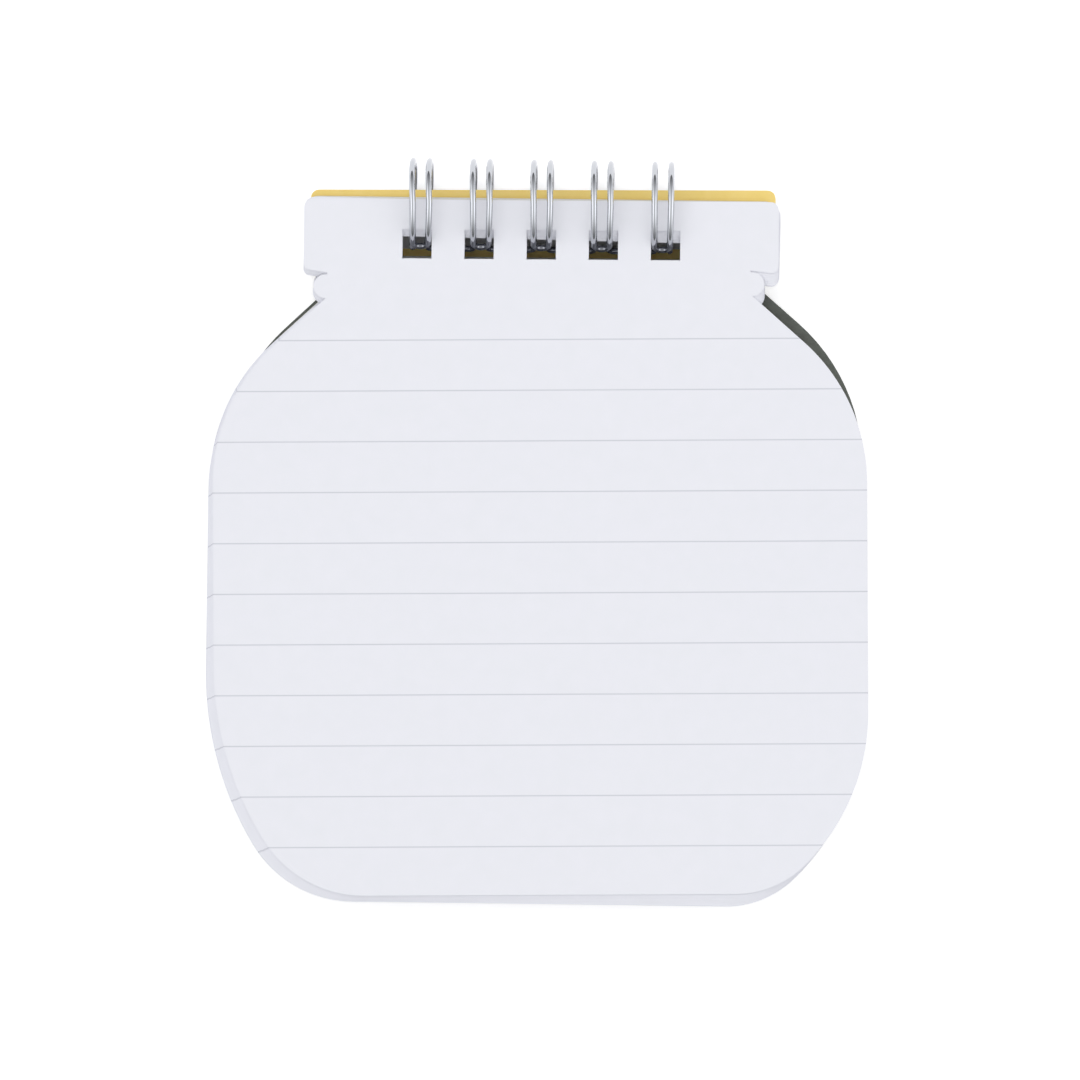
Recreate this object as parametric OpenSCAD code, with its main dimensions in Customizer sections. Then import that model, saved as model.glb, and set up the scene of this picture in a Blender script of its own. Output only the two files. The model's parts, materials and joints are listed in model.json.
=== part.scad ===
// Jar-shaped mini notebook: ruled sheets and two card covers on a closed twin-loop wire comb.
// The front cover is folded right round and lies behind. Millimetres, +Z towards the reader,
// +Y towards the comb, X along the comb. The origin is the middle of the footprint, at the
// height of the comb's lowest point.

/* [Sheet outline] */
// Width across the jar's body
body_w = 90.3; // [86:0.1:96]
// Height of a sheet from its top edge to its bottom edge
sheet_h = 95.8; // [92:0.1:104]
// Width across the jar's lid
lid_w = 65.5; // [63.5:0.1:70]
// Height of the jar's lid
lid_h = 9.8; // [9:0.1:11.5]
// Radius of the lid's upper corners
lid_top_r = 1.1; // [0.5:0.1:2]
// Radius of the lid's lower corners
lid_low_r = 0.9; // [0.4:0.1:1.6]
// Width across the necks above and below the bead
neck_w = 58.4; // [56:0.1:58.8]
// Height of the narrow gap between the lid and the bead
notch_h = 0.25; // [0.2:0.05:0.6]
// Width across the bead under the lid
bead_w = 62.2; // [62:0.1:63]
// Radius of the bead's round end
bead_r = 1.65; // [1.3:0.05:1.8]
// Radius of the shoulders
shoulder_r = 26; // [22:0.5:32]
// Slope of the straight part of the shoulders, in degrees below level
shoulder_slope = 42; // [39:0.1:47]
// Height of the lower right corner, from the bottom edge to the straight side
right_corner_h = 25; // [20:0.1:28.5]
// Radius of the lower right corner
right_corner_r = 29.5; // [26:0.1:34]
// Radius where the lower right corner runs into the bottom edge
right_foot_r = 13.2; // [8:0.1:16]
// Height of the lower left corner, from the bottom edge to the straight side
left_corner_h = 31.7; // [26:0.1:38]
// Radius of the lower left corner
left_corner_r = 45.8; // [40:0.1:50]
// Radius where the lower left corner runs into the bottom edge
left_foot_r = 16.1; // [10:0.1:24]
// Turn of the jar below its lid, against the lid and the row of holes
cut_turn = 0.7; // [0:0.05:1]
// How far the jar below its lid is cut to the right
cut_side = -0.3; // [-0.4:0.05:0.3]

/* [Punched holes] */
// Distance between the centres of neighbouring holes
hole_pitch = 8.57; // [8.4:0.01:8.7]
// Height of a hole, along the sheet
hole_h = 4.05; // [3.9:0.05:4.6]
// Paper left between a hole and the top edge
hole_margin = 4.1; // [3.8:0.05:4.4]
// Least room between a wire and the side of a hole, at the outermost loops
hole_side_room = 0.105; // [0.1:0.005:0.3]
// Least room between a wire and the upper or lower edge of a hole
hole_edge_room = 0.3; // [0.2:0.05:0.4]

/* [Stack] */
// Thickness of the lifts of sheets, from the top one down
lift_h = [1.2, 1.6, 2.8, 1.3]; // [0.8:0.1:3.2]
// Turn of each lift in its own plane, against the comb
lift_turn = [0.51, -0.55, -0.45, 0.1]; // [-0.9:0.01:0.9]
// How far each lift is cut off centre, to the right
lift_side = [0, 0.05, 0.2, 0]; // [-0.4:0.05:0.4]
// How far each lift hangs down within the play of its holes, from 0 to 1
lift_hang = [0.54, 0.94, 0.45, 0.75]; // [0:0.01:1]
// Thickness of a card cover
cover_t = 0.4; // [0.3:0.05:0.6]
// How much narrower a cover's lid is than a sheet's, on each side
lid_trim = 0.65; // [0:0.05:1.2]
// How much narrower a cover's jar is than a sheet's, on each side
body_trim = 1.05; // [0:0.05:1.5]
// Free space between the back cover and the front cover folded behind it
cover_gap = 0.3; // [0.2:0.05:0.6]
// How far the back cover hangs down within the play of its holes, from 0 to 1
back_hang = 0.8; // [0.7:0.01:1]
// Turn of the back cover in its own plane, against the comb
back_turn = 0.2; // [-0.5:0.01:0.5]
// Turn of the front cover in its own plane, against the comb
front_turn = 0.8; // [-0.8:0.01:0.8]
// How far the front cover is cut off centre, to the right
front_side = 0.25; // [-0.5:0.05:0.7]

/* [Wire comb] */
// Number of twin loops
loops = 5; // [3:2:5]
// Diameter of the wire
wire_d = 0.87; // [0.8:0.01:0.95]
// Radius of the loops, at the middle of the wire
ring_r = 6; // [5.9:0.05:6.4]
// Distance between the two wires of a loop
pair_gap = 2.1; // [1.9:0.05:2.3]
// Distance between the middles of neighbouring loops
comb_pitch = 8.34; // [8.2:0.01:8.5]
// Room inside the loops below the stack
ring_room = 0.765; // [0.7:0.005:0.9]
// Room between the inside of the loops and the front cover's bound edge
bound_room = 0.27; // [0.2:0.01:0.4]
// How far the middle of a loop's closed tip lies below the top sheet
tip_sink = 1.5; // [1.2:0.05:1.7]
// Distance along the loop from its closed tip to the spine, middle to middle
closure_gap = 1.6; // [1.4:0.05:2]
// How much thicker the wire is where it is bent sharply
bend_swell = 0.02; // [0.02:0.01:0.04]
// Free space round the spine where the sheets spread over it
spine_room = 0.3; // [0.2:0.05:0.4]

/* [Hidden] */
$fn = 48;

// Steps in the drawn arcs of an outline: small corners, the bead and the wide curves
corner_steps = 4;
bead_steps = 8;
curve_steps = 12;
// How far one stretch of wire runs into the next
lap = 0.05;

wire_r = wire_d / 2;
bend_r = pair_gap / 2;
bend_wire_r = wire_r + bend_swell / 2;
ring_in = ring_r - wire_r;
ring_out = ring_r + wire_r;
end_offset = (loops - 1) / 2 * abs(hole_pitch - comb_pitch);
hole_w = pair_gap + wire_d + 2 * (end_offset + hole_side_room);

// Heights, measured from the axis of the loops
front_z = -(ring_in - ring_room);
back_z = front_z + cover_t + cover_gap;
pages_z = back_z + cover_t;
pages_h = sum(lift_h);
face_z = pages_z + pages_h;

// The loops end in a tip just under the top sheet, and the spine lies next to it
bend_angle = bend_r / ring_r * 180 / PI;
lap_angle = lap / ring_r * 180 / PI;
tip_angle = 180 - asin((face_z - tip_sink) / ring_r) - bend_angle;
spine_angle = tip_angle + closure_gap / ring_r * 180 / PI + 2 * bend_angle;
spine_at = [
    ring_r * cos(spine_angle) + bend_r * sin(spine_angle),
    ring_r * sin(spine_angle) - bend_r * cos(spine_angle)
];

function sum(v, i = 0) = i == len(v) ? 0 : v[i] + sum(v, i + 1);
function lift_z(i) = face_z - sum([for (k = [0:i]) lift_h[k]]);

// Where a loop of the given radius passes through the height z, as a distance from the axis
function pass_y(r, z) = sqrt(max(0, r * r - z * z));
function farthest(z1, z2) = pass_y(ring_out, z1 * z2 < 0 ? 0 : min(abs(z1), abs(z2)));
function nearest(z1, z2) = pass_y(ring_in, max(abs(z1), abs(z2)));

// Lower edge of the hole row of a layer between two heights that hangs by the given share of its play
function row_y(z1, z2, hang) =
    let (play = hole_h - 2 * hole_edge_room - farthest(z1, z2) + nearest(z1, z2))
    -farthest(z1, z2) - hole_edge_room - hang * play;

function arc(x, y, r, a1, a2, steps) =
    [for (i = [0:steps]) let (a = a1 + (a2 - a1) * i / steps) [x + r * cos(a), y + r * sin(a)]];

// Right half of the lid, from its top edge down, with the middle of the top edge at 0,0
function lid_half(trim) =
    let (lid_x = lid_w / 2 - trim)
    concat(
        arc(lid_x - lid_top_r, -lid_top_r, lid_top_r, 90, 0, corner_steps),
        arc(lid_x - lid_low_r, lid_low_r - lid_h, lid_low_r, 0, -90, corner_steps)
    );

// Right half of the jar below its lid, down to the bottom edge
function body_half(trim, corner_h, corner_r, foot_r) =
    let (
        bead_x = bead_w / 2 - bead_r,
        bead_y = -lid_h - notch_h - bead_r,
        shoulder_x = body_w / 2 - trim - shoulder_r,
        shoulder_fall = shoulder_r - (bead_x - shoulder_x) * sin(shoulder_slope),
        shoulder_y = bead_y - bead_r - shoulder_fall / cos(shoulder_slope),
        corner_x = body_w / 2 - trim - corner_r,
        corner_y = corner_h - sheet_h,
        foot_y = foot_r - sheet_h,
        foot_a = -asin((corner_y - foot_y) / (corner_r - foot_r)),
        foot_x = corner_x + (corner_r - foot_r) * cos(foot_a)
    )
    concat(
        [[neck_w / 2, -lid_h], [neck_w / 2, -lid_h - notch_h]],
        arc(bead_x, bead_y, bead_r, 90, -90, bead_steps),
        arc(shoulder_x, shoulder_y, shoulder_r, 90 - shoulder_slope, 0, curve_steps),
        arc(corner_x, corner_y, corner_r, 0, foot_a, curve_steps),
        arc(foot_x, foot_y, foot_r, foot_a, -90, corner_steps)
    );

function mirrored(half) = [for (i = [len(half) - 1:-1:0]) [-half[i][0], half[i][1]]];
function turned(p, angle) = [p[0] * cos(angle) - p[1] * sin(angle), p[0] * sin(angle) + p[1] * cos(angle)];

// The jar is cut a little askew to its lid, turned about the middle of the neck
function cut(p) =
    let (q = turned([p[0], p[1] + lid_h], cut_turn))
    [q[0] + cut_side, q[1] - lid_h];

function jar(lid_trim, body_trim) =
    let (
        right = body_half(body_trim, right_corner_h, right_corner_r, right_foot_r),
        left = mirrored(body_half(body_trim, left_corner_h, left_corner_r, left_foot_r))
    )
    concat(
        lid_half(lid_trim),
        [for (p = concat(right, left)) cut(p)],
        mirrored(lid_half(lid_trim))
    );

// The jar as it lies: its hole row's lower edge at row, cut off centre by side, turned about the row
function row_mid(row) = row + hole_h / 2;
function placed(outline, row, side, turn) =
    [for (p = outline)
        let (q = turned([p[0] + side, p[1] + hole_margin + hole_h / 2], turn))
        [q[0], q[1] + row_mid(row)]];

// Hole rows of the lifts and the covers
lift_row = [for (i = [0:len(lift_h) - 1]) row_y(lift_z(i), lift_z(i) + lift_h[i], lift_hang[i])];
back_row = row_y(back_z, pages_z, back_hang);
// The front cover's bound edge lies close against the inside of the loops
front_row = pass_y(ring_in - bound_room, front_z) - hole_margin - hole_h;

lift_outline = [for (i = [0:len(lift_h) - 1]) placed(jar(0, 0), lift_row[i], lift_side[i], lift_turn[i])];
back_outline = placed(jar(lid_trim, body_trim), back_row, 0, back_turn);
front_outline = placed(jar(lid_trim, body_trim), front_row, front_side, front_turn);

// Middle of the footprint
all_points = concat(back_outline, front_outline, [for (o = lift_outline) each o]);
all_x = [for (p = all_points) p[0]];
all_y = [for (p = all_points) p[1]];
mid_x = (min(all_x) + max(all_x)) / 2;
mid_y = (min(all_y) + ring_out) / 2;

module in_place() {
    translate([-mid_x, -mid_y, ring_out]) children();
}

// One flat layer with its row of holes
module layer(outline, row, turn, z, h) {
    translate([0, 0, z])
    linear_extrude(height = h)
    difference() {
        polygon(outline);
        translate([0, row_mid(row)])
        rotate(turn)
        for (i = [0:loops - 1])
            translate([(i - (loops - 1) / 2) * hole_pitch, 0])
            square([hole_w, hole_h], center = true);
    }
}

// The sheets, in four lifts that have slipped against each other, spread over the comb's spine
module pages() {
    slot = wire_d + 2 * spine_room;
    slot_l = (loops - 1) * hole_pitch;
    color([0.93, 0.93, 0.95])
    in_place()
    difference() {
        union() {
            for (i = [0:len(lift_h) - 1])
                layer(lift_outline[i], lift_row[i], lift_turn[i], lift_z(i), lift_h[i]);
        }
        translate([0, spine_at[0], spine_at[1]])
        cube([slot_l, slot, slot], center = true);
    }
}

module back_cover() {
    color([0.86, 0.85, 0.82])
    in_place()
    layer(back_outline, back_row, back_turn, back_z, cover_t);
}

module front_cover() {
    color([0.26, 0.29, 0.25])
    in_place()
    layer(front_outline, front_row, front_turn, front_z, cover_t);
}

// Turns X and Y into the plane of a loop at x, with angles from +Y towards +Z
module loop_plane(x) {
    translate([x, 0, 0]) rotate([90, 0, 90]) children();
}

// A stretch of wire bent round the local Z axis
module bent_wire(bow_r, a1, a2, r) {
    rotate([0, 0, a1])
    rotate_extrude(angle = a2 - a1)
    translate([bow_r, 0])
    circle(r = r);
}

// One wire of a loop, from the spine round the outside to the tip
module loop_wire(x) {
    loop_plane(x) bent_wire(ring_r, spine_angle - 360 - lap_angle, tip_angle + lap_angle, wire_r);
}

// The closed tip that joins the two wires of the loop in the middle at x
module loop_tip(x) {
    loop_plane(x)
    rotate([0, 0, tip_angle])
    translate([ring_r, 0, 0])
    rotate([0, 90, 0])
    bent_wire(bend_r, 0, 180, bend_wire_r);
}

// The spine between two loops, from the wire at x to the next loop's wire
module spine(x) {
    run = comb_pitch - pair_gap;
    loop_plane(x)
    rotate([0, 0, spine_angle])
    translate([ring_r, 0, 0]) {
        translate([0, 0, bend_r]) rotate([0, 90, 0]) bent_wire(bend_r, -90, 0, bend_wire_r);
        translate([0, 0, run - bend_r]) rotate([0, 90, 0]) bent_wire(bend_r, 180, 270, bend_wire_r);
        translate([0, -bend_r, bend_r - lap]) cylinder(r = wire_r, h = run - 2 * bend_r + 2 * lap);
    }
}

// One continuous bright wire
module wire_comb() {
    color([0.75, 0.77, 0.8])
    in_place()
    union() {
        for (i = [0:loops - 1]) {
            x = (i - (loops - 1) / 2) * comb_pitch;
            loop_wire(x - pair_gap / 2);
            loop_wire(x + pair_gap / 2);
            loop_tip(x);
            if (i < loops - 1) spine(x + pair_gap / 2);
        }
    }
}

pages();
back_cover();
front_cover();
wire_comb();
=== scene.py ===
import json
import math
import random

import bpy
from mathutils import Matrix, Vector
from mathutils.geometry import tessellate_polygon


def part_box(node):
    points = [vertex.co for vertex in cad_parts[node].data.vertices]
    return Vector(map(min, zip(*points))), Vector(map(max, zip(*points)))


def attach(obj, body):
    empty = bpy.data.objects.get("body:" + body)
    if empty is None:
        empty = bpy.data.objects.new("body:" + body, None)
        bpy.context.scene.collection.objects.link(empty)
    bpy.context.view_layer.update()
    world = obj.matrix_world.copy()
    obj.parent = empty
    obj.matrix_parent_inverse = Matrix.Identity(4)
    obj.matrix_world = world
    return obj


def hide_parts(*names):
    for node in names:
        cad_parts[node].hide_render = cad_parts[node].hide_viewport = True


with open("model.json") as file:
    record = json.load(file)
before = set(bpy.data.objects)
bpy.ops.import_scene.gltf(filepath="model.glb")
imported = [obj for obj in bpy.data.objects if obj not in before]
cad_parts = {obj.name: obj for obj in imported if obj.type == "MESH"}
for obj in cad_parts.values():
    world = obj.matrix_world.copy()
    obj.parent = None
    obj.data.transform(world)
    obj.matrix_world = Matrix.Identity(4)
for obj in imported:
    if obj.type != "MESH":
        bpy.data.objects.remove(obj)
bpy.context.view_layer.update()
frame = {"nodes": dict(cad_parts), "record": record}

# Pages
# A block of die-cut sheets of white writing paper, ruled in grey and punched with square holes.
# Each sheet hangs loosely on the wire, so the block has slipped into lifts that lie a little askew.

MM = 0.001


def linear(hex_colour):
    """The linear RGBA of an sRGB colour such as "EBECF1"."""
    parts = [int(hex_colour[i:i + 2], 16) / 255 for i in (0, 2, 4)]
    return [p / 12.92 if p <= 0.04045 else ((p + 0.055) / 1.055) ** 2.4 for p in parts] + [1.0]


def new_material(name):
    """An empty node material and its node tree."""
    material = bpy.data.materials.new(name)
    material.use_nodes = True
    material.node_tree.nodes.clear()
    return material, material.node_tree


def add(tree, kind, links=(), **settings):
    """Adds a node. Settings named in_NAME or in_INDEX set inputs; links are (input, socket) pairs."""
    node = tree.nodes.new(kind)
    for key, value in settings.items():
        if key.startswith("in_"):
            socket = key[3:].replace("_", " ")
            node.inputs[int(socket) if socket.isdigit() else socket].default_value = value
        else:
            setattr(node, key, value)
    for socket, source in links:
        tree.links.new(source, node.inputs[socket])
    return node


def arc(x, y, r, a1, a2, steps):
    """Points along an arc from angle a1 to angle a2, in millimetres and degrees."""
    angles = [math.radians(a1 + (a2 - a1) * i / steps) for i in range(steps + 1)]
    return [(x + r * math.cos(a), y + r * math.sin(a)) for a in angles]


# The comb's axis and the block's place come from the frame
comb_at = Vector(next(m["pos_m"] for m in frame["record"]["mounts"] if m["name"] == "comb_axis"))
pages_low, pages_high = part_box("pages")

lid_w, lid_h, lid_top_r, lid_low_r = 65.5, 9.8, 1.1, 0.9
hole_pitch, hole_w, hole_h, hole_margin = 8.57, 4.1, 4.05, 4.1
row_drop = hole_margin + hole_h / 2
sheet_t, sheet_gap = 0.1, 0.006


def body_half(corner_h, corner_r, foot_r):
    """Right half of the jar below its lid, from the neck down to the bottom edge."""
    body_w, sheet_h, neck_w, notch_h, bead_w, bead_r = 90.3, 95.8, 58.4, 0.25, 62.2, 1.65
    shoulder_r, slope = 26.0, 42.0
    bead_x, bead_y = bead_w / 2 - bead_r, -lid_h - notch_h - bead_r
    shoulder_x, tilt = body_w / 2 - shoulder_r, math.radians(slope)
    fall = (shoulder_r - (bead_x - shoulder_x) * math.sin(tilt)) / math.cos(tilt)
    corner_x, foot_y = body_w / 2 - corner_r, foot_r - sheet_h
    foot_a = -math.asin((corner_h - foot_r) / (corner_r - foot_r))
    foot_x = corner_x + (corner_r - foot_r) * math.cos(foot_a)
    foot_a = math.degrees(foot_a)
    points = [(neck_w / 2, -lid_h), (neck_w / 2, -lid_h - notch_h)]
    points += arc(bead_x, bead_y, bead_r, 90, -90, 14)
    points += arc(shoulder_x, bead_y - bead_r - fall, shoulder_r, 90 - slope, 0, 22)
    points += arc(corner_x, corner_h - sheet_h, corner_r, 0, foot_a, 22)
    return points + arc(foot_x, foot_y, foot_r, foot_a, -90, 12)


def jar_outline():
    """The jar, clockwise from the middle of its top edge, which is at 0,0."""
    lid = arc(lid_w / 2 - lid_top_r, -lid_top_r, lid_top_r, 90, 0, 6)
    lid += arc(lid_w / 2 - lid_low_r, lid_low_r - lid_h, lid_low_r, 0, -90, 6)
    body = body_half(25.0, 29.5, 13.2) + [(-x, y) for x, y in reversed(body_half(31.7, 45.8, 16.1))]
    # The die cuts the jar a little askew to the lid, turned about the middle of the neck
    cut_turn, cut_side = math.radians(0.7), -0.3
    askew = []
    for x, y in body:
        fall = y + lid_h
        askew.append((x * math.cos(cut_turn) - fall * math.sin(cut_turn) + cut_side,
                      x * math.sin(cut_turn) + fall * math.cos(cut_turn) - lid_h))
    return lid + askew + [(-x, y) for x, y in reversed(lid)]


def sheet_mesh(name, seed, side):
    """One sheet, cut off centre by side, with the middle of its hole row at the origin.

    The punch leaves small fibres, so the holes' edges are slightly ragged.
    """
    dice = random.Random(seed)
    outer = [(x + side, y + row_drop) for x, y in reversed(jar_outline())]
    loops = [outer]
    edge_steps, fray = 7, 0.07
    for i in range(5):
        cx = (i - 2) * hole_pitch
        corners = [(-1, -1), (-1, 1), (1, 1), (1, -1)]
        hole = []
        for (ax, ay), (bx, by) in zip(corners, corners[1:] + corners[:1]):
            for s in range(edge_steps):
                t = s / edge_steps
                x = cx + hole_w / 2 * (ax + (bx - ax) * t)
                y = hole_h / 2 * (ay + (by - ay) * t)
                away = 0 if s == 0 else dice.uniform(0, fray)
                hole.append((x + away * (cx - x) / hole_w, y - away * y / hole_h))
        loops.append(hole)
    flat = [p for loop in loops for p in loop]
    thick = sheet_t - sheet_gap
    vertices = [(x * MM, y * MM, z * MM) for z in (0, thick) for x, y in flat]
    n = len(flat)
    faces = []
    for tri in tessellate_polygon([[Vector((x, y, 0)) for x, y in loop] for loop in loops]):
        a, b, c = (Vector(flat[i]) for i in tri)
        if (b - a).cross(c - a) < 0:
            tri = tri[::-1]
        faces.append([i + n for i in tri])
        faces.append(list(tri)[::-1])
    start = 0
    for loop in loops:
        for i in range(len(loop)):
            p, q = start + i, start + (i + 1) % len(loop)
            faces.append([p, q, q + n, p + n])
        start += len(loop)
    mesh = bpy.data.meshes.new(name)
    mesh.from_pydata(vertices, [], faces)
    # The print lies in the sheet's own frame: one unit of the map is 100 mm
    layer = mesh.uv_layers.new(name="print")
    for corner in mesh.loops:
        x, y = flat[corner.vertex_index % n]
        layer.data[corner.index].uv = (x / 100, y / 100)
    mesh.validate()
    return mesh


# How the block has slipped: at each depth below the top sheet, the turn of the sheets there and the
# height of their hole row's middle from the comb's axis. The sheets between follow evenly.
SLIPS = [(0.0, 0.51, -5.41), (0.15, 0.51, -5.41), (0.45, 0.06, -6.0), (0.85, -0.5, -6.7), (2.7, -0.52, -6.72),
         (3.4, -0.42, -5.66), (5.5, -0.42, -5.62), (6.0, 0.1, -5.47), (6.9, 0.1, -5.47)]
# The sheets of the lower half were cut with their holes this far off centre
SIDES = [(2.8, 0.0), (5.6, 0.15), (6.9, 0.0)]
# Each loose sheet lies up to this far from its place, in millimetres and in degrees
jolt, twist = 0.05, 0.02

dice = random.Random(7)
spots, turns, cuts = [], [], []
count = round((pages_high.z - pages_low.z) / MM / sheet_t)
for k in range(count):
    depth = k * sheet_t
    above = max(i for i, slip in enumerate(SLIPS[:-1]) if slip[0] <= depth)
    (d1, turn1, row1), (d2, turn2, row2) = SLIPS[above:above + 2]
    share = (depth - d1) / (d2 - d1)
    loose = 0 if depth < SLIPS[1][0] else 1
    x = comb_at.x + dice.uniform(0, jolt) * MM * loose
    y = comb_at.y + (row1 + (row2 - row1) * share + dice.uniform(0, jolt) * loose) * MM
    spots.append((x, y, pages_high.z - (depth + sheet_t) * MM))
    turns.append(math.radians(turn1 + (turn2 - turn1) * share + dice.uniform(-twist, twist) * loose))
    side = next(i for i, (deepest, off) in enumerate(SIDES) if depth <= deepest)
    cuts.append(2 * side + k % 2)

# White wood-free paper, uncoated and printed: a faintly blue white, with soft fibre and grey ruling
paper, tree = new_material("White writing paper, ruled in grey")
print_map = add(tree, "ShaderNodeUVMap", uv_map="print")
skew = add(tree, "ShaderNodeVectorRotate", [("Vector", print_map.outputs[0])],
           rotation_type="Z_AXIS", in_Angle=math.radians(-0.69))
split = add(tree, "ShaderNodeSeparateXYZ", [("Vector", skew.outputs[0])])
# The ruling is 7 mm apart and each line 0.16 mm wide. Its first line is 13 mm below the holes' middle.
rule_gap, rule_w, rule_first, rule_count = 6.993, 0.16, -13.05, 11
# The ink is full up to the first share of the width from a line's middle, and gone at the second
ink_full, ink_gone = 0.35, 0.7
down = add(tree, "ShaderNodeMath", [(0, split.outputs["Y"])], operation="MULTIPLY_ADD",
           in_1=-100.0 / rule_gap, in_2=rule_first / rule_gap)
near_line = add(tree, "ShaderNodeMath", [(0, down.outputs[0])], operation="PINGPONG", in_1=0.5)
line = add(tree, "ShaderNodeMapRange", [("Value", near_line.outputs[0])], clamp=True)
line.inputs["From Min"].default_value = rule_w * ink_full / rule_gap
line.inputs["From Max"].default_value = rule_w * ink_gone / rule_gap
line.inputs["To Min"].default_value = 1.0
line.inputs["To Max"].default_value = 0.0
above = add(tree, "ShaderNodeMath", [(0, down.outputs[0])], operation="GREATER_THAN", in_1=-0.5)
below = add(tree, "ShaderNodeMath", [(0, down.outputs[0])], operation="LESS_THAN", in_1=rule_count - 0.5)
ruled = add(tree, "ShaderNodeMath", [(0, above.outputs[0]), (1, below.outputs[0])], operation="MULTIPLY")
ruled = add(tree, "ShaderNodeMath", [(0, ruled.outputs[0]), (1, line.outputs[0])], operation="MULTIPLY")
# The ink lies on the sheets' faces and not on their cut edges
facing = add(tree, "ShaderNodeNewGeometry")
facing = add(tree, "ShaderNodeSeparateXYZ", [("Vector", facing.outputs["True Normal"])])
facing = add(tree, "ShaderNodeMath", [(0, facing.outputs["Z"])], operation="ABSOLUTE")
facing = add(tree, "ShaderNodeMath", [(0, facing.outputs[0])], operation="GREATER_THAN", in_1=0.5)
ruled = add(tree, "ShaderNodeMath", [(0, ruled.outputs[0]), (1, facing.outputs[0])], operation="MULTIPLY")
place = add(tree, "ShaderNodeTexCoord")
cloud = add(tree, "ShaderNodeTexNoise", [("Vector", place.outputs["Object"])], in_Scale=400.0, in_Detail=3.0)
tint = add(tree, "ShaderNodeMix", [("Factor", cloud.outputs["Fac"])], data_type="RGBA")
tint.inputs["A"].default_value = linear("ECEDF2")
tint.inputs["B"].default_value = linear("F0F0F6")
ink = add(tree, "ShaderNodeMix", [("Factor", ruled.outputs[0]), ("A", tint.outputs["Result"])],
          data_type="RGBA")
ink.inputs["B"].default_value = linear("D3D4DB")
fibre = add(tree, "ShaderNodeTexNoise", [("Vector", place.outputs["Object"])], in_Scale=2500.0, in_Detail=4.0)
grain = add(tree, "ShaderNodeBump", [("Height", fibre.outputs["Fac"])], in_Strength=0.15, in_Distance=0.00002)
finish = add(tree, "ShaderNodeBsdfPrincipled",
             [("Base Color", ink.outputs["Result"]), ("Normal", grain.outputs[0])], in_Roughness=0.85)
finish.inputs["Specular IOR Level"].default_value = 0.25
add(tree, "ShaderNodeOutputMaterial", [("Surface", finish.outputs[0])])


def modifier_tree(name, sockets):
    """A geometry node tree with a geometry input and output and the named inputs."""
    group = bpy.data.node_groups.new(name, "GeometryNodeTree")
    group.interface.new_socket("Geometry", in_out="INPUT", socket_type="NodeSocketGeometry")
    ids = {}
    for label, kind in sockets:
        ids[label] = group.interface.new_socket(label, in_out="INPUT", socket_type=kind).identifier
    group.interface.new_socket("Geometry", in_out="OUTPUT", socket_type="NodeSocketGeometry")
    return group, ids


def finished(start, group, ids, values, name):
    """Runs the tree on a start object and gives its result as a plain mesh object."""
    modifier = start.modifiers.new("make", "NODES")
    modifier.node_group = group
    for label, value in values.items():
        modifier[ids[label]] = value
    evaluated = start.evaluated_get(bpy.context.evaluated_depsgraph_get())
    mesh = bpy.data.meshes.new_from_object(evaluated, preserve_all_data_layers=True,
                                           depsgraph=bpy.context.evaluated_depsgraph_get())
    mesh.name = name
    start.modifiers.remove(modifier)
    bpy.data.objects.remove(start)
    piece = bpy.data.objects.new(name, mesh)
    bpy.context.scene.collection.objects.link(piece)
    return piece


# One sheet is set on each point, turned about its hole row, and the whole is joined to one piece
sheets = bpy.data.collections.new("sheets")
for i, (deepest, off) in enumerate(SIDES):
    for seed in (0, 1):
        label = f"sheet_{2 * i + seed}"
        sheets.objects.link(bpy.data.objects.new(label, sheet_mesh(label, seed, off)))
seat_mesh = bpy.data.meshes.new("seats")
seat_mesh.from_pydata(spots, [], [])
seat_mesh.attributes.new("turn", "FLOAT_VECTOR", "POINT")
seat_mesh.attributes.new("cut", "INT", "POINT")
for i in range(count):
    seat_mesh.attributes["turn"].data[i].vector = (0, 0, turns[i])
    seat_mesh.attributes["cut"].data[i].value = cuts[i]
seats = bpy.data.objects.new("seats", seat_mesh)
bpy.context.scene.collection.objects.link(seats)
group, ids = modifier_tree("Stack of sheets",
                            [("Sheets", "NodeSocketCollection"), ("Paper", "NodeSocketMaterial")])
given = add(group, "NodeGroupInput")
stock = add(group, "GeometryNodeCollectionInfo", [("Collection", given.outputs["Sheets"])])
stock.inputs["Separate Children"].default_value = True
order = add(group, "GeometryNodeInputNamedAttribute", data_type="INT", in_Name="cut")
angle = add(group, "GeometryNodeInputNamedAttribute", data_type="FLOAT_VECTOR", in_Name="turn")
laid = add(group, "GeometryNodeInstanceOnPoints",
           [("Points", given.outputs["Geometry"]), ("Instance", stock.outputs[0]),
            ("Instance Index", order.outputs[0]), ("Rotation", angle.outputs[0])])
laid.inputs["Pick Instance"].default_value = True
real = add(group, "GeometryNodeRealizeInstances", [("Geometry", laid.outputs[0])])
coat = add(group, "GeometryNodeSetMaterial",
           [("Geometry", real.outputs[0]), ("Material", given.outputs["Paper"])])
add(group, "NodeGroupOutput", [("Geometry", coat.outputs[0])])
pages = finished(seats, group, ids, {"Sheets": sheets, "Paper": paper}, "paper_sheets")
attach(pages, "root")
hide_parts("pages")

# Back cover
# A sheet of plain white card between the last page and the folded front cover, almost out of sight.
# It is the CAD solid with its own material.

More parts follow.
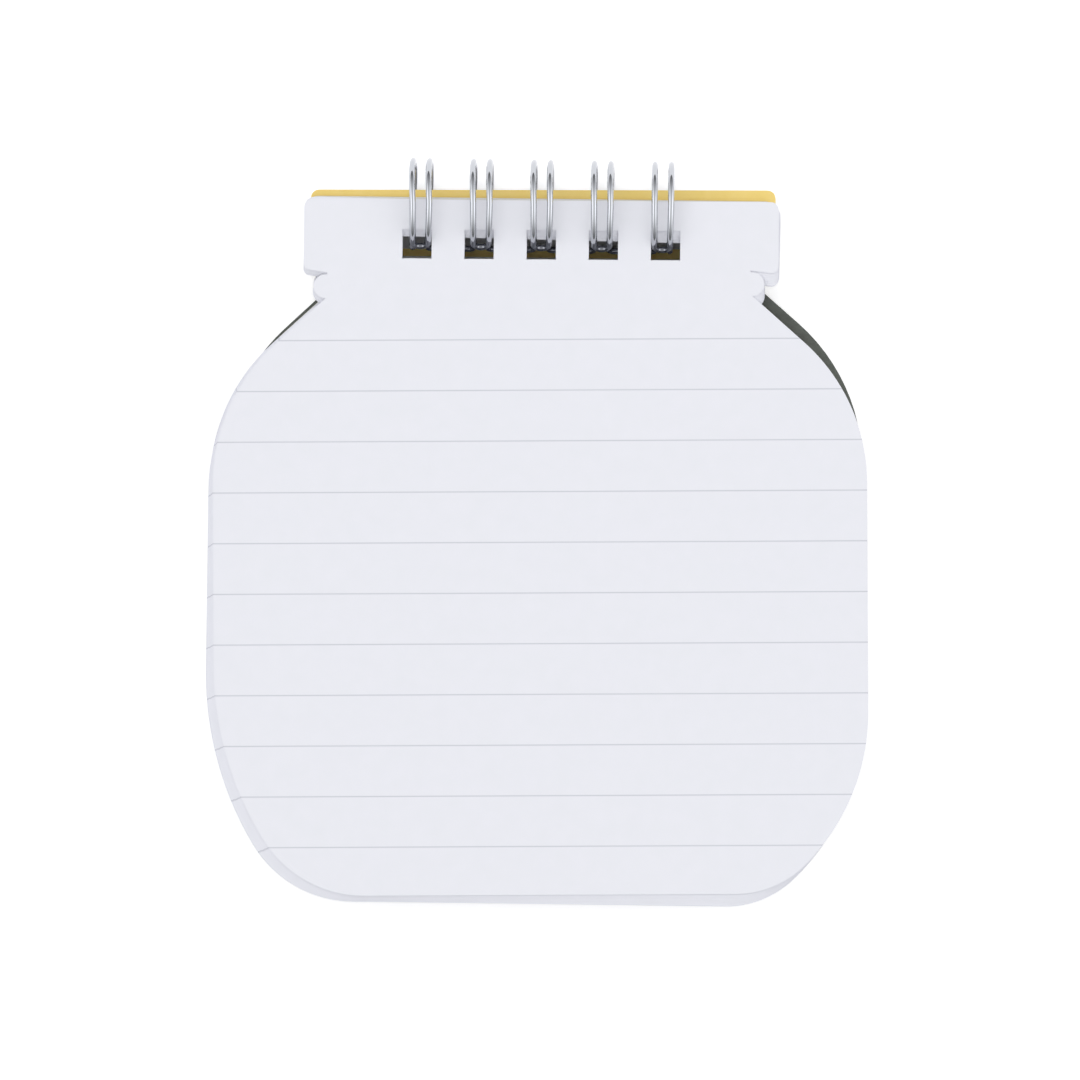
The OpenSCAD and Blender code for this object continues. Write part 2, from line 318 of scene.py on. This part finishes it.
card, tree = new_material("White folding card, uncoated")
place = add(tree, "ShaderNodeTexCoord")
fleck = add(tree, "ShaderNodeTexNoise", [("Vector", place.outputs["Object"])], in_Scale=900.0, in_Detail=4.0)
tone = add(tree, "ShaderNodeMix", [("Factor", fleck.outputs["Fac"])], data_type="RGBA")
tone.inputs["A"].default_value = linear("D9D7D0")
tone.inputs["B"].default_value = linear("E2E0DA")
grain = add(tree, "ShaderNodeBump", [("Height", fleck.outputs["Fac"])], in_Strength=0.2, in_Distance=0.00003)
finish = add(tree, "ShaderNodeBsdfPrincipled",
             [("Base Color", tone.outputs["Result"]), ("Normal", grain.outputs[0])], in_Roughness=0.8)
add(tree, "ShaderNodeOutputMaterial", [("Surface", finish.outputs[0])])
back_cover = frame["nodes"]["back_cover"]
for slot in back_cover.material_slots:
    slot.material = card

# Front cover
# White card, printed on its outer face with a yellow lid over a dark green jar and left plain inside.
# It is folded right round, so the print faces up behind the sheets. It is the CAD solid, dressed.

front_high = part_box("front_cover")[1]
front_turn, front_row = 0.8, -3.89
printed, tree = new_material("Printed card, matt varnish")
place = add(tree, "ShaderNodeTexCoord")
# The jar's own frame: turned back about the hole row, with the lid's print ending at the neck
centred = add(tree, "ShaderNodeMapping", [("Vector", place.outputs["Object"])], vector_type="POINT")
centred.inputs["Location"].default_value = (-comb_at.x, -(comb_at.y + front_row * MM), 0)
own = add(tree, "ShaderNodeVectorRotate", [("Vector", centred.outputs[0])],
          rotation_type="Z_AXIS", in_Angle=math.radians(-front_turn))
own_split = add(tree, "ShaderNodeSeparateXYZ", [("Vector", own.outputs[0])])
split = add(tree, "ShaderNodeSeparateXYZ", [("Vector", place.outputs["Object"])])
lid_end = (row_drop - lid_h) * MM
lid = add(tree, "ShaderNodeMath", [(0, own_split.outputs["Y"])], operation="GREATER_THAN", in_1=lid_end)
mottle = add(tree, "ShaderNodeTexNoise", [("Vector", place.outputs["Object"])], in_Scale=700.0, in_Detail=5.0)
green = add(tree, "ShaderNodeMix", [("Factor", mottle.outputs["Fac"])], data_type="RGBA")
green.inputs["A"].default_value = linear("43443F")
green.inputs["B"].default_value = linear("666B62")
yellow = add(tree, "ShaderNodeMix", [("Factor", mottle.outputs["Fac"])], data_type="RGBA")
yellow.inputs["A"].default_value = linear("F2D474")
yellow.inputs["B"].default_value = linear("F8DC88")
colour = add(tree, "ShaderNodeMix", [("Factor", lid.outputs[0]), ("A", green.outputs["Result"]),
                                     ("B", yellow.outputs["Result"])], data_type="RGBA")
# Print lies only on the upper face; the cut edge shows the board, and the inner face is plain
skin = 0.02 * MM
upper = add(tree, "ShaderNodeMath", [(0, split.outputs["Z"])], operation="GREATER_THAN",
            in_1=front_high.z - skin)
faced = add(tree, "ShaderNodeMix", [("Factor", upper.outputs[0]), ("B", colour.outputs["Result"])],
            data_type="RGBA")
faced.inputs["A"].default_value = linear("DCDAD3")
grain = add(tree, "ShaderNodeBump", [("Height", mottle.outputs["Fac"])],
            in_Strength=0.15, in_Distance=0.00002)
finish = add(tree, "ShaderNodeBsdfPrincipled",
             [("Base Color", faced.outputs["Result"]), ("Normal", grain.outputs[0])], in_Roughness=0.55)
add(tree, "ShaderNodeOutputMaterial", [("Surface", finish.outputs[0])])
front_cover = frame["nodes"]["front_cover"]
for slot in front_cover.material_slots:
    slot.material = printed

# Wire comb
# One length of bright plated steel wire, bent to and fro into twin loops and closed round the holes.
# Each loop ends in a round tip in a hole, and the spine between the loops lies under the top sheets.

loop_count, comb_pitch, pair_gap = 5, 8.34, 2.1
wire_d, ring_r, tip_sink, closure_gap = 0.87, 6.0, 1.5, 1.6
bend_r = pair_gap / 2
bend_angle = math.degrees(bend_r / ring_r)
face_z = (pages_high.z - comb_at.z) / MM
tip_angle = 180 - math.degrees(math.asin((face_z - tip_sink) / ring_r)) - bend_angle
spine_angle = tip_angle + math.degrees(closure_gap / ring_r) + 2 * bend_angle


# The loops lean slightly above the sheets' edge, each by its own amount
leans = [0.32, 0.24, 0.2, 0.18, 0.05]
# The two wires of a loop stand this much further apart outside the holes than in them, on each side
spread = 0.09


def on_loop(x, angle, ahead=0.0, lean=0.0, apart=0.0):
    """A point of a loop at x, or a step ahead of it along the loop's tangent."""
    a = math.radians(angle)
    x += apart * min(1, 1 + math.cos(a)) - lean * math.sin(a) * max(0, math.cos(a))
    y = ring_r * math.cos(a) - ahead * math.sin(a)
    z = ring_r * math.sin(a) + ahead * math.cos(a)
    return Vector((x, y, z)) * MM + comb_at


path = []
loop_steps, bend_steps = 150, 12
for i in range(loop_count):
    middle = (i - (loop_count - 1) / 2) * comb_pitch
    sweep = [spine_angle - 360 + (tip_angle - spine_angle + 360) * k / loop_steps
             for k in range(loop_steps + 1)]
    path += [on_loop(middle - bend_r, a, lean=leans[i], apart=-spread) for a in sweep]
    for k in range(1, bend_steps):
        a = math.pi * k / bend_steps
        path.append(on_loop(middle - bend_r * math.cos(a), tip_angle, bend_r * math.sin(a)))
    path += [on_loop(middle + bend_r, a, lean=leans[i], apart=spread) for a in reversed(sweep)]
    if i < loop_count - 1:
        left, right = middle + bend_r, middle + comb_pitch - bend_r
        for k in range(1, bend_steps // 2 + 1):
            a = math.pi * k / bend_steps
            path.append(on_loop(left + bend_r * (1 - math.cos(a)), spine_angle, -bend_r * math.sin(a)))
        for k in range(bend_steps // 2, 0, -1):
            a = math.pi * k / bend_steps
            path.append(on_loop(right - bend_r * (1 - math.cos(a)), spine_angle, -bend_r * math.sin(a)))

wire_curve = bpy.data.curves.new("wire_path", "CURVE")
wire_curve.dimensions = "3D"
spline = wire_curve.splines.new("POLY")
spline.points.add(len(path) - 1)
for point, at in zip(spline.points, path):
    point.co = (*at, 1)
wire_start = bpy.data.objects.new("wire_path", wire_curve)
bpy.context.scene.collection.objects.link(wire_start)

# Nickel-plated steel wire, drawn smooth: bright, and slightly uneven in its shine
plate, tree = new_material("Nickel-plated steel wire, drawn bright")
place = add(tree, "ShaderNodeTexCoord")
streak = add(tree, "ShaderNodeTexNoise", [("Vector", place.outputs["Object"])],
             in_Scale=1500.0, in_Detail=2.0)
dull = add(tree, "ShaderNodeMapRange", [("Value", streak.outputs["Fac"])])
dull.inputs["To Min"].default_value = 0.06
dull.inputs["To Max"].default_value = 0.12
# Painted shade: the wire's colour is darkened down in the holes, at the tips and along the spine, where the
# holes shade it
split = add(tree, "ShaderNodeSeparateXYZ", [("Vector", place.outputs["Object"])])
# Each row is an axis and where the painted shade begins and where it is full, from the comb's axis
hole_shade = None
for axis, shade_begins, shade_full in (("Y", -4.6, -5.3), ("Z", 2.7, 2.1), ("Z", -1.8, -1.2)):
    edge = add(tree, "ShaderNodeMapRange", [("Value", split.outputs[axis])], clamp=True)
    middle = comb_at.y if axis == "Y" else comb_at.z
    edge.inputs["From Min"].default_value = middle + shade_begins * MM
    edge.inputs["From Max"].default_value = middle + shade_full * MM
    if hole_shade is None:
        hole_shade = edge
    else:
        hole_shade = add(tree, "ShaderNodeMath", [(0, hole_shade.outputs[0]), (1, edge.outputs[0])],
                     operation="MULTIPLY")
# The plate's own colour, mixed towards dark grey by the painted shade in the holes
plate_and_hole_shade = add(tree, "ShaderNodeMix", [("Factor", hole_shade.outputs[0])], data_type="RGBA")
plate_and_hole_shade.inputs["A"].default_value = linear("BABCC1")
plate_and_hole_shade.inputs["B"].default_value = linear("6E7076")
finish = add(tree, "ShaderNodeBsdfPrincipled",
             [("Base Color", plate_and_hole_shade.outputs["Result"]), ("Roughness", dull.outputs[0])], in_Metallic=1.0)
add(tree, "ShaderNodeOutputMaterial", [("Surface", finish.outputs[0])])

group, ids = modifier_tree("Bent wire", [("Radius", "NodeSocketFloat"), ("Plate", "NodeSocketMaterial")])
given = add(group, "NodeGroupInput")
section = add(group, "GeometryNodeCurvePrimitiveCircle", [("Radius", given.outputs["Radius"])],
              in_Resolution=16)
tube = add(group, "GeometryNodeCurveToMesh",
           [("Curve", given.outputs["Geometry"]), ("Profile Curve", section.outputs[0])])
tube.inputs["Fill Caps"].default_value = True
smooth = add(group, "GeometryNodeSetShadeSmooth", [("Geometry", tube.outputs[0])])
real = add(group, "GeometryNodeRealizeInstances", [("Geometry", smooth.outputs[0])])
coat = add(group, "GeometryNodeSetMaterial",
           [("Geometry", real.outputs[0]), ("Material", given.outputs["Plate"])])
add(group, "NodeGroupOutput", [("Geometry", coat.outputs[0])])
wire = finished(wire_start, group, ids, {"Radius": wire_d / 2 * MM, "Plate": plate}, "twin_loop_wire")
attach(wire, "root")
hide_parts("wire_comb")

# Table, light and camera
# A white table under two wide soft lights, one from the upper left and one from the right, in a pale
# room. It is seen straight down from far off.

floor_mesh = bpy.data.meshes.new("table_top")
reach = 3.0
floor_mesh.from_pydata([(-reach, -reach, 0), (reach, -reach, 0), (reach, reach, 0), (-reach, reach, 0)], [],
                       [(0, 1, 2, 3)])
floor = bpy.data.objects.new("table_top", floor_mesh)
bpy.context.scene.collection.objects.link(floor)
white, tree = new_material("White table top")
rays = add(tree, "ShaderNodeLightPath")
seen = add(tree, "ShaderNodeMath", [(0, rays.outputs["Is Camera Ray"]), (1, rays.outputs["Is Glossy Ray"])],
           operation="MAXIMUM")
seen = add(tree, "ShaderNodeMath", [(0, seen.outputs[0]), (1, rays.outputs["Is Transmission Ray"])],
           operation="MAXIMUM")
# No glow right under the notebook, so that the holes stay dark
place = add(tree, "ShaderNodeTexCoord")
split = add(tree, "ShaderNodeSeparateXYZ", [("Vector", place.outputs["Object"])])
clear = None
for axis, half in (("X", 30 * MM), ("Y", 44 * MM)):
    off = add(tree, "ShaderNodeMath", [(0, split.outputs[axis])], operation="ABSOLUTE")
    off = add(tree, "ShaderNodeMath", [(0, off.outputs[0])], operation="GREATER_THAN", in_1=half)
    if clear is None:
        clear = off
    else:
        clear = add(tree, "ShaderNodeMath", [(0, clear.outputs[0]), (1, off.outputs[0])],
                    operation="MAXIMUM")
glow_at = add(tree, "ShaderNodeMath", [(0, seen.outputs[0]), (1, clear.outputs[0])], operation="MULTIPLY")
glow_at = add(tree, "ShaderNodeMath", [(0, glow_at.outputs[0])], operation="MULTIPLY", in_1=0.45)
matt = add(tree, "ShaderNodeBsdfDiffuse", in_Color=linear("F6F6F6"))
glow = add(tree, "ShaderNodeEmission", [("Strength", glow_at.outputs[0])])
both = add(tree, "ShaderNodeAddShader", [(0, matt.outputs[0]), (1, glow.outputs[0])])
add(tree, "ShaderNodeOutputMaterial", [("Surface", both.outputs[0])])
floor_mesh.materials.append(white)

world = bpy.data.worlds.new("Soft room")
bpy.context.scene.world = world
world.use_nodes = True
tree = world.node_tree
tree.nodes.clear()
rays = add(tree, "ShaderNodeLightPath")
room = add(tree, "ShaderNodeBackground", in_Strength=0.55, in_Color=(0.97, 0.98, 1.0, 1.0))
bright = add(tree, "ShaderNodeBackground", in_Strength=1.0, in_Color=(1.0, 1.0, 1.0, 1.0))
# Polished metal mirrors the room: white screens to the left and right with a greyer gap between them,
# all of it fading towards the floor
way = add(tree, "ShaderNodeTexCoord")
aside = add(tree, "ShaderNodeSeparateXYZ", [("Vector", way.outputs["Generated"])])
off = add(tree, "ShaderNodeMath", [(0, aside.outputs["X"])], operation="ABSOLUTE")
screens = add(tree, "ShaderNodeMapRange", [("Value", off.outputs[0])], clamp=True)
for socket, value in (("From Min", 0.45), ("From Max", 0.75), ("To Min", 0.5), ("To Max", 1.8)):
    screens.inputs[socket].default_value = value
falling = add(tree, "ShaderNodeMapRange", [("Value", aside.outputs["Z"])], clamp=True)
for socket, value in (("From Min", 0.15), ("From Max", 0.9), ("To Min", 0.5), ("To Max", 1.9)):
    falling.inputs[socket].default_value = value
tone = add(tree, "ShaderNodeMath", [(0, screens.outputs[0]), (1, falling.outputs[0])], operation="MULTIPLY")
mirrored = add(tree, "ShaderNodeBackground", [("Strength", tone.outputs[0])], in_Color=(0.98, 0.99, 1.0, 1.0))
shiny = add(tree, "ShaderNodeMath",
            [(0, rays.outputs["Is Glossy Ray"]), (1, rays.outputs["Is Transmission Ray"])],
            operation="MAXIMUM")
lit = add(tree, "ShaderNodeMixShader",
          [(0, shiny.outputs[0]), (1, room.outputs[0]), (2, mirrored.outputs[0])])
pick = add(tree, "ShaderNodeMixShader",
           [(0, rays.outputs["Is Camera Ray"]), (1, lit.outputs[0]), (2, bright.outputs[0])])
add(tree, "ShaderNodeOutputWorld", [("Surface", pick.outputs[0])])

for name, at, size, power in (("key_light", (-0.7, 0.75, 1.45), 1.6, 10.8),
                              ("fill_light", (0.6, 0.0, 1.0), 2.0, 6.4)):
    lamp = bpy.data.lights.new(name, "AREA")
    lamp.size, lamp.energy = size, power
    light = bpy.data.objects.new(name, lamp)
    light.location = at
    light.visible_glossy = False
    light.rotation_euler = (-Vector(at)).to_track_quat("-Z", "Y").to_euler()
    bpy.context.scene.collection.objects.link(light)

# The comb runs 0.93 degrees clockwise in the picture. The picture is 149 mm wide at the top sheet, and
# the comb's axis lies just right of its middle and 46.1 mm above it.
camera_turn = math.radians(0.93)
view_w, comb_right, comb_up = 148.97, 0.26, 46.12
right = Vector((math.cos(camera_turn), math.sin(camera_turn), 0))
up = Vector((-math.sin(camera_turn), math.cos(camera_turn), 0))
aim = comb_at - (right * comb_right + up * comb_up) * MM
height = 5.0
lens = bpy.data.cameras.new("camera")
lens.lens = lens.sensor_width * (height - pages_high.z) / (view_w * MM)
lens.clip_end = 20
camera = bpy.data.objects.new("camera", lens)
camera.location = (aim.x, aim.y, height)
camera.rotation_euler = (0, 0, camera_turn)
bpy.context.scene.collection.objects.link(camera)
bpy.context.scene.camera = camera
bpy.context.scene.view_settings.view_transform = "Standard"
